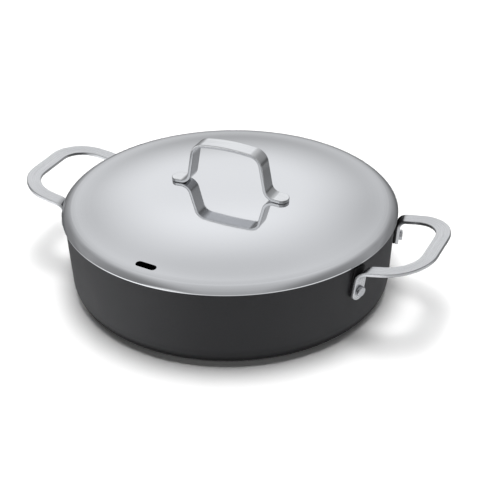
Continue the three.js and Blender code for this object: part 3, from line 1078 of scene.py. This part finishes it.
@dataclass(frozen=True)
class SideHandle:
    """One looped strap handle, tilted up, whose ends turn down against the wall. Sizes in mm."""

    seats: Seats
    side: Side
    stock: Stock = Stock(width=12.4, thickness=3.0, edge=0.6, tips=(7.5, 7.5))
    reach: float = 191.5  # pan axis to the loop's outer edge
    half_width: float = 51.2  # handle axis to the loop's outer edge
    corner: float = 30.4
    tilt: float = math.radians(9.8)
    top_x: float = 148.0  # a point of the loop's upper face
    top_z: float = 69.7
    tab_offset: float = 2.0  # wall to the tab's back
    tab_bend: float = 10.0
    tab_drop: float = 8.6  # rivet centre to the tab's lowest point

    def middle(self, x: float) -> float:
        """Height of the loop's middle line at a distance from the pan's axis."""
        below = self.stock.thickness / 2 / math.cos(self.tilt)
        return self.top_z + (x - self.top_x) * math.tan(self.tilt) - below

    def build(self) -> None:
        """Bend the strap, drill its tabs and dress it."""
        face = Vector((-math.sin(self.tilt), 0.0, math.cos(self.tilt)))
        out = self.tab_offset + self.stock.thickness / 2
        end_x, end_y = self.reach - self.stock.width / 2, self.half_width - self.stock.width / 2
        halves, walls = [], []
        for tab in Tab:
            place = self.seats.place(Side.RIGHT, tab)
            foot = place @ Vector((0.0, -self.tab_drop, out))
            up = place.to_3x3() @ Vector((0.0, 1.0, 0.0))
            rise = (self.middle(foot.x) - foot.z) / (up.z - math.tan(self.tilt) * up.x)
            corner = Vector((end_x, tab.value * end_y, self.middle(end_x)))
            halves.append([Bend(foot), Bend(foot + up * rise, self.tab_bend), Bend(corner, self.corner)])
            walls.append(place.to_3x3() @ Vector((0.0, 0.0, -1.0)))
        turned = Matrix.Rotation(self.side.value, 3, "Z")
        bends = [Bend(turned @ b.at, b.radius) for b in halves[0] + halves[1][::-1]]
        faces = [turned @ f for f in [walls[0], face, face, face, walls[1]]]
        name = self.side.name.lower()
        piece = bend_strap(f"side_strap_{name}", bends, faces, self.stock)
        cut(piece, self.seats.drills(self.side))
        piece.data.materials.append(BrushedSteel().material())
        declare(piece, Body.PAN, Slot.BRUSHED_STEEL, f"side_handle_{name}")


@dataclass(frozen=True)
class Lid:
    """The lid, one sheet: dome, border, shoulder, folded rim, and a skirt in the pan's mouth. Sizes in mm."""

    pan: PanBody
    diameter: float = 290.0
    sheet: float = 0.7
    rim_face: float = 1.14  # height of the upright face where the sheet is folded under
    rim_edge: float = 0.3
    rim_fold: float = 0.3
    rim_run: float = 0.5  # from the shoulder to the rim
    shoulder_radius: float = 12.0
    shoulder_slope: float = math.radians(50)
    border_slope: float = math.radians(6)  # where the border meets the shoulder
    edge_slope: float = math.radians(8.2)  # where the dome meets the border
    dome_spread: float = 119.0  # pan axis to where the dome meets the border
    skirt_clearance: float = 0.8
    skirt_depth: float = 7.8
    skirt_bend: float = 1.5
    vent_length: float = 19.0
    vent_width: float = 6.4
    vent_radius: float = 128.1
    vent_angle: float = math.radians(-95.5)
    vent_sides: int = 24
    underside: float = -0.02  # a face whose normal dips below this is on the underside
    segments: int = 360

    @property
    def hem_bottom(self) -> float:
        """Height of the fold's underside, just clear of the pan's rim."""
        return self.pan.height + GAP

    @property
    def rim_top(self) -> float:
        """Height at which the shoulder's slope would meet the rim's upright face."""
        return self.hem_bottom + self.rim_face

    @property
    def skirt_radius(self) -> float:
        """Radius of the skirt's outer face."""
        return self.pan.inner_diameter / 2 - self.skirt_clearance

    @property
    def border_radius(self) -> float:
        """Radius of the slightly hollow border between dome and shoulder.

        Returns:
            the radius
        """
        bend = self.shoulder_radius * (math.sin(self.shoulder_slope) - math.sin(self.border_slope))
        run = self.diameter / 2 - self.rim_run - bend - self.dome_spread
        return run / (math.sin(self.edge_slope) - math.sin(self.border_slope))

    @property
    def dome_radius(self) -> float:
        """Radius of the dome's sphere."""
        return self.dome_spread / math.sin(self.edge_slope)

    @property
    def dome_top(self) -> float:
        """Height of the dome's outer face at the axis.

        Returns:
            the height
        """
        shoulder = self.shoulder_radius * (math.cos(self.border_slope) - math.cos(self.shoulder_slope))
        border = self.border_radius * (math.cos(self.border_slope) - math.cos(self.edge_slope))
        foot = self.rim_top + self.rim_run * math.tan(self.shoulder_slope)
        return foot + shoulder + border + self.dome_radius * (1 - math.cos(self.edge_slope))

    def dome_height(self, radius: float) -> float:
        """Height of the dome's outer face at a radius."""
        return self.dome_top - self.dome_radius + math.sqrt(self.dome_radius**2 - radius**2)

    def dome(self, depth: float) -> list[tuple[float, ...]]:
        """Draw the profile from the shoulder to the axis.

        Args:
            depth: how far the profile is below the outer face
        Returns:
            the profile's corners
        """
        dome, border = self.dome_radius - depth, self.border_radius + depth
        shoulder = self.shoulder_radius - depth
        steep, slight = self.edge_slope, self.border_slope
        edge_r = dome * math.sin(steep)
        edge_z = self.dome_top - self.dome_radius + dome * math.cos(steep)
        end_r = edge_r + border * (math.sin(steep) - math.sin(slight))
        end_z = edge_z - border * (math.cos(slight) - math.cos(steep))
        border_reach = border * math.tan((steep - slight) / 2)
        shoulder_reach = shoulder * math.tan((self.shoulder_slope - slight) / 2)
        return [
            (end_r + shoulder_reach * math.cos(slight), end_z - shoulder_reach * math.sin(slight), shoulder),
            (edge_r + border_reach * math.cos(steep), edge_z - border_reach * math.sin(steep), border),
            (dome * math.tan(steep / 2), self.dome_top - depth, dome),
            (0.0, self.dome_top - depth),
        ]

    def vent(self) -> Piece:
        """Make the obround cutter of the steam vent, along the rim.

        Returns:
            the cutting tool
        """
        end = self.vent_width / 2
        straight = self.vent_length / 2 - end
        outline = []
        for sign, first in ((1, -math.pi / 2), (-1, math.pi / 2)):
            for i in range(self.vent_sides + 1):
                a = first + math.pi * i / self.vent_sides
                outline.append((sign * straight + end * math.cos(a), end * math.sin(a)))
        middle = Matrix.Translation((0.0, -self.vent_radius, self.dome_height(self.vent_radius)))
        turned = Matrix.Rotation(self.vent_angle + math.pi / 2, 4, "Z")
        return bar("vent", outline, 2 * self.vent_width, turned @ middle)

    def is_inside(self, at: Vector, facing: Vector) -> bool:
        """Say whether a face is on the lid's underside or its skirt.

        Args:
            at: the face's centre
            facing: its normal
        Returns:
            whether it takes the inner finish
        """
        in_skirt = at.z < self.hem_bottom and math.hypot(at.x, at.y) < self.skirt_radius + GAP
        return in_skirt or facing.z < self.underside

    def build(self) -> None:
        """Turn the lid, cut its vent, and dress it outside and inside."""
        layer = self.hem_bottom + self.sheet
        skirt, rim = self.skirt_radius, self.diameter / 2
        skirt_end = self.hem_bottom - self.skirt_depth
        slope = self.shoulder_slope
        fold_top = self.rim_top + self.sheet * (math.tan(slope) - 1 / math.cos(slope))
        corners = [
            *self.dome(self.sheet)[::-1],
            (rim - self.sheet, fold_top),
            (rim - self.sheet, layer),
            (skirt - self.sheet, layer, self.skirt_bend),
            (skirt - self.sheet, skirt_end),
            (skirt, skirt_end),
            (skirt, self.hem_bottom, self.skirt_bend - self.sheet),
            (rim, self.hem_bottom, self.rim_fold),
            (rim, self.rim_top, self.rim_edge),
            *self.dome(0.0),
        ]
        piece = turn("polished_lid", corners, self.segments, MIRROR_POLISH)
        cut(piece, [self.vent()])
        paint(piece, SPUN, self.is_inside)
        declare(piece, Body.LID, Slot.POLISHED_STEEL, "lid_shell")


@dataclass(frozen=True)
class LidHandle:
    """The arched strap whose rounded feet are welded to the dome. Sizes in mm."""

    lid: Lid
    stock: Stock = Stock(width=14.6, thickness=3.0, edge=0.5, tips=(7.6, 7.6), tip_corner=3.0)
    top: float = 131.0
    crown: float = 2.6  # rise of the grip's middle over its corners
    crown_radius: float = 150.0
    half_span: float = 30.6
    leg_spread: float = 6.2
    corner: float = 11.0
    foot_bend: float = 9.5
    foot_reach: float = 55.2

    def build(self) -> None:
        """Bend the arch and dress it."""
        half = self.stock.thickness / 2
        lift = (GAP + half) / math.cos(self.foot_reach / self.lid.dome_radius)
        leg_foot = self.half_span + self.leg_spread
        crown_lift = self.crown_radius * (self.crown / self.half_span) ** 2 / 2
        left = [
            (self.foot_reach, self.lid.dome_height(self.foot_reach) + lift, 0.0),
            (leg_foot, self.lid.dome_height(leg_foot) + lift, self.foot_bend),
            (self.half_span, self.top - half - self.crown, self.corner),
        ]
        bends = [Bend(Vector((-x, 0.0, z)), r) for x, z, r in left]
        bends.append(Bend(Vector((0.0, 0.0, self.top - half + crown_lift)), self.crown_radius))
        bends += [Bend(Vector((x, 0.0, z)), r) for x, z, r in reversed(left)]
        across = Vector((0.0, 1.0, 0.0))
        faces = [(b.at - a.at).normalized().cross(across) for a, b in zip(bends, bends[1:])]
        piece = bend_strap("lid_arch", bends, faces, self.stock)
        piece.data.materials.append(FINE_BRUSHING.material())
        declare(piece, Body.LID, Slot.BRUSHED_STEEL, "lid_handle")


@dataclass(frozen=True)
class SoftBox:
    """An oval soft box hung over the pan, which lights the floor and isn't mirrored in the steel.

    Its half width and half depth are angles in degrees seen from below. It hangs a tilt in degrees beyond the
    pan, or on the camera's side if the tilt is negative.
    """

    name: str
    half_width: float
    half_depth: float
    tilt: float
    watts: float
    height: float = 12.0  # metres

    def hang(self, heading: float) -> None:
        """Hang the soft box.

        Args:
            heading: the turn about Z of its depth from +Y
        """
        wide, deep, beyond = (
            self.height * math.tan(math.radians(a)) for a in (self.half_width, self.half_depth, self.tilt)
        )
        data = bpy.data.lights.new(self.name, "AREA")
        data.shape = "ELLIPSE"
        data.size, data.size_y = 2 * wide, 2 * deep
        data.energy = self.watts
        made = bpy.data.objects.new(self.name, data)
        bpy.context.scene.collection.objects.link(made)
        made.matrix_world = Matrix.Rotation(heading, 4, "Z") @ Matrix.Translation((0.0, beyond, self.height))
        made.visible_glossy = False


@dataclass(frozen=True)
class Glow:
    """An oval of light on the room's walls. Angles in degrees."""

    light: float
    up: float  # from the horizon behind the pan
    aside: float  # to the right
    start: float  # from its middle to where it starts
    full: float  # and to where it is full
    stretch: float = 1.0  # its height over its width


@dataclass(frozen=True)
class Studio:
    """The white studio and the camera that sees the pan as the photograph does. Sizes in mm."""

    camera_place: tuple[float, float, float] = (407.87, -831.74, 582.63)
    heading: float = math.radians(25.0815)  # from +Y towards -X
    pitch: float = math.radians(30.966)  # below the horizon
    roll: float = math.radians(-0.555)
    lens: float = 87.7
    sensor: float = 36.0
    floor_size: float = 12000.0
    floor_tone: str = "#FAFAFA"
    sky: str = "#F7F8FA"
    # Brightness of the room by the angle in degrees up from the horizon behind the pan, over the top and on
    # to the camera's side. Negative angles are the floor
    walls: tuple[Pair, ...] = (
        (-180.0, 0.36), (-168.0, 0.45), (-155.0, 0.74), (-110.0, 0.76), (-80.0, 0.6),
        (-50.0, 0.38), (-30.0, 0.22), (-10.0, 0.22), (0.0, 0.33), (9.4, 0.48),
        (13.0, 0.54), (22.0, 0.585), (32.0, 0.61), (42.0, 0.78), (48.0, 0.77),
        (58.0, 0.82), (72.0, 0.72), (94.0, 0.63), (122.0, 0.52), (180.0, 0.36),
    )
    flank: Pair = (0.2, 0.68)  # how far aside, as a sine, the room starts and ends changing
    flank_share: float = 0.5  # what is left of the light there above the horizon
    floor_shares: Pair = (1.9, 1.25)  # the same for the floor, on the left and on the right
    floor_edge: Pair = (-0.35, -0.1)  # sines of the heights between floor and walls
    # The bounce from behind the pan, and a window at the camera's left
    glows: tuple[Glow, ...] = (Glow(0.475, 27.7, -1.7, 17.8, 7.2, 1.15), Glow(0.8, 142.0, -42.0, 24.0, 12.0))
    lights: tuple[SoftBox, ...] = (
        SoftBox("overhead_soft_box", 11.0, 16.0, 1.5, 1120.0),
        SoftBox("back_soft_box", 38.0, 25.0, 14.0, 1280.0),
        SoftBox("front_fill", 60.0, 40.0, -60.0, 1500.0),
    )

    def camera(self) -> None:
        """Set up the camera."""
        data = bpy.data.cameras.new("photo_camera")
        data.sensor_width = self.sensor
        data.lens = self.lens
        made = bpy.data.objects.new("photo_camera", data)
        bpy.context.scene.collection.objects.link(made)
        made.matrix_world = (
            Matrix.Translation(Vector(self.camera_place) * MM)
            @ Matrix.Rotation(self.heading, 4, "Z")
            @ Matrix.Rotation(math.pi / 2 - self.pitch, 4, "X")
            @ Matrix.Rotation(self.roll, 4, "Z")
        )
        bpy.context.scene.camera = made

    def floor(self) -> None:
        """Lay the plain pale floor."""
        half = self.floor_size / 2 * MM
        corners = [(-half, -half, 0.0), (half, -half, 0.0), (half, half, 0.0), (-half, half, 0.0)]
        made = new_object("floor", corners, faces=[(0, 1, 2, 3)])
        matte = bpy.data.materials.new("white paper sweep")
        tree = empty_tree(matte)
        shader = add_node(tree, "ShaderNodeBsdfDiffuse", {"Color": linear(self.floor_tone)})
        add_node(tree, "ShaderNodeOutputMaterial", {"Surface": shader})
        made.data.materials.append(matte)
        made.visible_glossy = False

    def room(self) -> None:
        """Light the room that the steel mirrors: walls by height, changed to the sides, and the glows."""
        world = bpy.data.worlds.new("studio")
        bpy.context.scene.world = world
        tree = empty_tree(world)
        turned = Matrix.Rotation(self.heading, 3, "Z")
        ray = add_node(tree, "ShaderNodeTexCoord").outputs["Generated"]
        up = add_node(tree, "ShaderNodeSeparateXYZ", {0: ray}).outputs["Z"]
        ways = [{0: ray, 1: turned @ Vector(axis)} for axis in ((0.0, 1.0, 0.0), (1.0, 0.0, 0.0))]
        ahead, aside = (add_node(tree, "ShaderNodeVectorMath", way, operation="DOT_PRODUCT") for way in ways)
        angle = add_node(tree, "ShaderNodeMath", {0: up, 1: ahead}, operation="ARCTAN2")
        circle = {"Value": angle} | dict(zip(LIMITS, (-math.pi, math.pi, 0.0, 1.0)))
        walls = add_node(tree, "ShaderNodeValToRGB", {"Fac": add_node(tree, "ShaderNodeMapRange", circle)})
        walls.color_ramp.interpolation = "CARDINAL"
        stops = walls.color_ramp.elements
        for degrees, _ in self.walls[1:-1]:
            stops.new((degrees + 180.0) / 360.0)
        for stop, (_, light) in zip(stops, self.walls):
            stop.color = (light, light, light, 1.0)
        off = add_node(tree, "ShaderNodeMath", {0: aside}, operation="ABSOLUTE")
        sides = dict(zip(LIMITS, (-self.flank[0], self.flank[0], *self.floor_shares)))
        floor = add_node(tree, "ShaderNodeMapRange", {"Value": aside} | sides)
        edge = dict(zip(LIMITS, (*self.floor_edge, floor, self.flank_share)))
        share = add_node(tree, "ShaderNodeMapRange", {"Value": up} | edge)
        change = {"Value": off} | dict(zip(LIMITS, (*self.flank, 1.0, share)))
        dim = add_node(tree, "ShaderNodeMapRange", change, interpolation_type="SMOOTHSTEP")
        lit = add_node(tree, "ShaderNodeMath", {0: walls, 1: dim}, operation="MULTIPLY")
        swing = add_node(tree, "ShaderNodeMath", {0: aside}, operation="ARCSINE")
        bearing = add_node(tree, "ShaderNodeCombineXYZ", {0: angle, 1: swing})
        for glow in self.glows:
            place = (math.radians(glow.up), math.radians(glow.aside), 0.0)
            oval = {"Vector": bearing, "Location": place, "Scale": (glow.stretch, 1.0, 1.0)}
            from_glow = add_node(tree, "ShaderNodeMapping", oval, vector_type="TEXTURE")
            apart = add_node(tree, "ShaderNodeVectorMath", {0: from_glow}, operation="LENGTH")
            ends = (math.radians(glow.start), math.radians(glow.full), 0.0, glow.light)
            fade = {"Value": apart} | dict(zip(LIMITS, ends))
            shine = add_node(tree, "ShaderNodeMapRange", fade, interpolation_type="SMOOTHSTEP")
            lit = add_node(tree, "ShaderNodeMath", {0: lit, 1: shine}, operation="ADD")
        air = add_node(tree, "ShaderNodeBackground", {"Color": linear(self.sky), "Strength": lit})
        add_node(tree, "ShaderNodeOutputWorld", {"Surface": air})
        world.cycles_visibility.diffuse = False

    def build(self) -> None:
        """Set up camera, floor, room light and soft boxes."""
        self.camera()
        self.floor()
        self.room()
        for light in self.lights:
            light.hang(self.heading)
        bpy.context.scene.view_settings.view_transform = "Standard"


def main() -> None:
    """Build the pan, then the lid, then the studio."""
    logging.basicConfig(level=logging.INFO, format="%(message)s")
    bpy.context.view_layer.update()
    pan = PanBody()
    seats = Seats(pan)
    pan.build(seats)
    InductionPlate().build()
    HeatSpacers(seats).build()
    Rivets(seats).build()
    for side in Side:
        SideHandle(seats, side).build()
    lid = Lid(pan)
    lid.build()
    LidHandle(lid).build()
    Studio().build()


if __name__ == "__main__":
    main()
